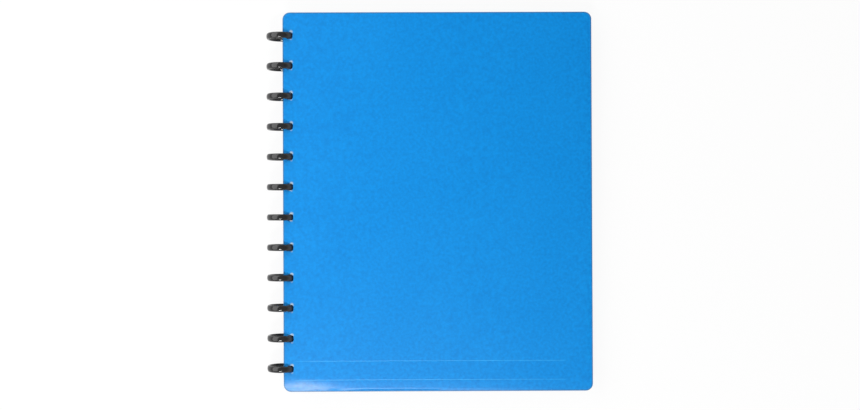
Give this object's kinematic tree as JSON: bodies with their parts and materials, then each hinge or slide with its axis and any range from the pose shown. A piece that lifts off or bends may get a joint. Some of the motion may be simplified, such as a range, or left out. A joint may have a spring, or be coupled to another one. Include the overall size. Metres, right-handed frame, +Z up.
{
  "type": "clear pocket display book",
  "caption": "Disc-bound display book: flexible plastic covers and clear top-loading pockets that turn on a row of thick-rimmed discs along the spine.",
  "frame": {"origin": "middle of the footprint of the shut book lying on its back, on the surface it lies on", "axes": "+X from the discs to the fore-edge, +Y along the spine to the top of the page, +Z up"},
  "size_m": [0.2734, 0.318, 0.024],
  "materials": {
    "cover": "blue polypropylene with a fine sand grain",
    "film": "clear film",
    "disc": "black, glossy"
  },
  "bodies": {
    "back_cover": {"back_cover": "cover"},
    "pocket_12": {"pocket_12_back": "film", "pocket_12_front": "film"},
    "pocket_11": {"pocket_11_back": "film", "pocket_11_front": "film"},
    "pocket_10": {"pocket_10_back": "film", "pocket_10_front": "film"},
    "pocket_09": {"pocket_09_back": "film", "pocket_09_front": "film"},
    "pocket_08": {"pocket_08_back": "film", "pocket_08_front": "film"},
    "pocket_07": {"pocket_07_back": "film", "pocket_07_front": "film"},
    "pocket_06": {"pocket_06_back": "film", "pocket_06_front": "film"},
    "pocket_05": {"pocket_05_back": "film", "pocket_05_front": "film"},
    "pocket_04": {"pocket_04_back": "film", "pocket_04_front": "film"},
    "pocket_03": {"pocket_03_back": "film", "pocket_03_front": "film"},
    "pocket_02": {"pocket_02_back": "film", "pocket_02_front": "film"},
    "pocket_01": {"pocket_01_back": "film", "pocket_01_front": "film"},
    "front_cover": {"front_cover": "cover"},
    "disc_01": {"disc_01": "disc"},
    "disc_02": {"disc_02": "disc"},
    "disc_03": {"disc_03": "disc"},
    "disc_04": {"disc_04": "disc"},
    "disc_05": {"disc_05": "disc"},
    "disc_06": {"disc_06": "disc"},
    "disc_07": {"disc_07": "disc"},
    "disc_08": {"disc_08": "disc"},
    "disc_09": {"disc_09": "disc"},
    "disc_10": {"disc_10": "disc"},
    "disc_11": {"disc_11": "disc"},
    "disc_12": {"disc_12": "disc"}
  },
  "joints": [
    {"name": "front_cover_turn", "type": "hinge", "parent": "pocket_01", "child": "front_cover", "pos_m": [-0.12475, 0, 0.012], "axis": [0, -1, 0], "range_deg": [0, 182.28]},
    {"name": "pocket_01_turn", "type": "hinge", "parent": "pocket_02", "child": "pocket_01", "pos_m": [-0.12475, 0, 0.012], "axis": [0, -1, 0], "range_deg": [0, 180]},
    {"name": "pocket_02_turn", "type": "hinge", "parent": "pocket_03", "child": "pocket_02", "pos_m": [-0.12475, 0, 0.012], "axis": [0, -1, 0], "range_deg": [0, 180]},
    {"name": "pocket_03_turn", "type": "hinge", "parent": "pocket_04", "child": "pocket_03", "pos_m": [-0.12475, 0, 0.012], "axis": [0, -1, 0], "range_deg": [0, 180]},
    {"name": "pocket_04_turn", "type": "hinge", "parent": "pocket_05", "child": "pocket_04", "pos_m": [-0.12475, 0, 0.012], "axis": [0, -1, 0], "range_deg": [0, 180]},
    {"name": "pocket_05_turn", "type": "hinge", "parent": "pocket_06", "child": "pocket_05", "pos_m": [-0.12475, 0, 0.012], "axis": [0, -1, 0], "range_deg": [0, 180]},
    {"name": "pocket_06_turn", "type": "hinge", "parent": "pocket_07", "child": "pocket_06", "pos_m": [-0.12475, 0, 0.012], "axis": [0, -1, 0], "range_deg": [0, 180]},
    {"name": "pocket_07_turn", "type": "hinge", "parent": "pocket_08", "child": "pocket_07", "pos_m": [-0.12475, 0, 0.012], "axis": [0, -1, 0], "range_deg": [0, 180]},
    {"name": "pocket_08_turn", "type": "hinge", "parent": "pocket_09", "child": "pocket_08", "pos_m": [-0.12475, 0, 0.012], "axis": [0, -1, 0], "range_deg": [0, 180]},
    {"name": "pocket_09_turn", "type": "hinge", "parent": "pocket_10", "child": "pocket_09", "pos_m": [-0.12475, 0, 0.012], "axis": [0, -1, 0], "range_deg": [0, 180]},
    {"name": "pocket_10_turn", "type": "hinge", "parent": "pocket_11", "child": "pocket_10", "pos_m": [-0.12475, 0, 0.012], "axis": [0, -1, 0], "range_deg": [0, 180]},
    {"name": "pocket_11_turn", "type": "hinge", "parent": "pocket_12", "child": "pocket_11", "pos_m": [-0.12475, 0, 0.012], "axis": [0, -1, 0], "range_deg": [0, 180]},
    {"name": "pocket_12_turn", "type": "hinge", "parent": "back_cover", "child": "pocket_12", "pos_m": [-0.12475, 0, 0.012], "axis": [0, -1, 0], "range_deg": [0, 180]},
    {"name": "spin_disc_01", "type": "hinge", "parent": "back_cover", "child": "disc_01", "pos_m": [-0.12475, 0, 0.012], "axis": [0, 1, 0], "continuous": true},
    {"name": "spin_disc_02", "type": "hinge", "parent": "back_cover", "child": "disc_02", "pos_m": [-0.12475, 0, 0.012], "axis": [0, 1, 0], "continuous": true},
    {"name": "spin_disc_03", "type": "hinge", "parent": "back_cover", "child": "disc_03", "pos_m": [-0.12475, 0, 0.012], "axis": [0, 1, 0], "continuous": true},
    {"name": "spin_disc_04", "type": "hinge", "parent": "back_cover", "child": "disc_04", "pos_m": [-0.12475, 0, 0.012], "axis": [0, 1, 0], "continuous": true},
    {"name": "spin_disc_05", "type": "hinge", "parent": "back_cover", "child": "disc_05", "pos_m": [-0.12475, 0, 0.012], "axis": [0, 1, 0], "continuous": true},
    {"name": "spin_disc_06", "type": "hinge", "parent": "back_cover", "child": "disc_06", "pos_m": [-0.12475, 0, 0.012], "axis": [0, 1, 0], "continuous": true},
    {"name": "spin_disc_07", "type": "hinge", "parent": "back_cover", "child": "disc_07", "pos_m": [-0.12475, 0, 0.012], "axis": [0, 1, 0], "continuous": true},
    {"name": "spin_disc_08", "type": "hinge", "parent": "back_cover", "child": "disc_08", "pos_m": [-0.12475, 0, 0.012], "axis": [0, 1, 0], "continuous": true},
    {"name": "spin_disc_09", "type": "hinge", "parent": "back_cover", "child": "disc_09", "pos_m": [-0.12475, 0, 0.012], "axis": [0, 1, 0], "continuous": true},
    {"name": "spin_disc_10", "type": "hinge", "parent": "back_cover", "child": "disc_10", "pos_m": [-0.12475, 0, 0.012], "axis": [0, 1, 0], "continuous": true},
    {"name": "spin_disc_11", "type": "hinge", "parent": "back_cover", "child": "disc_11", "pos_m": [-0.12475, 0, 0.012], "axis": [0, 1, 0], "continuous": true},
    {"name": "spin_disc_12", "type": "hinge", "parent": "back_cover", "child": "disc_12", "pos_m": [-0.12475, 0, 0.012], "axis": [0, 1, 0], "continuous": true}
  ]
}
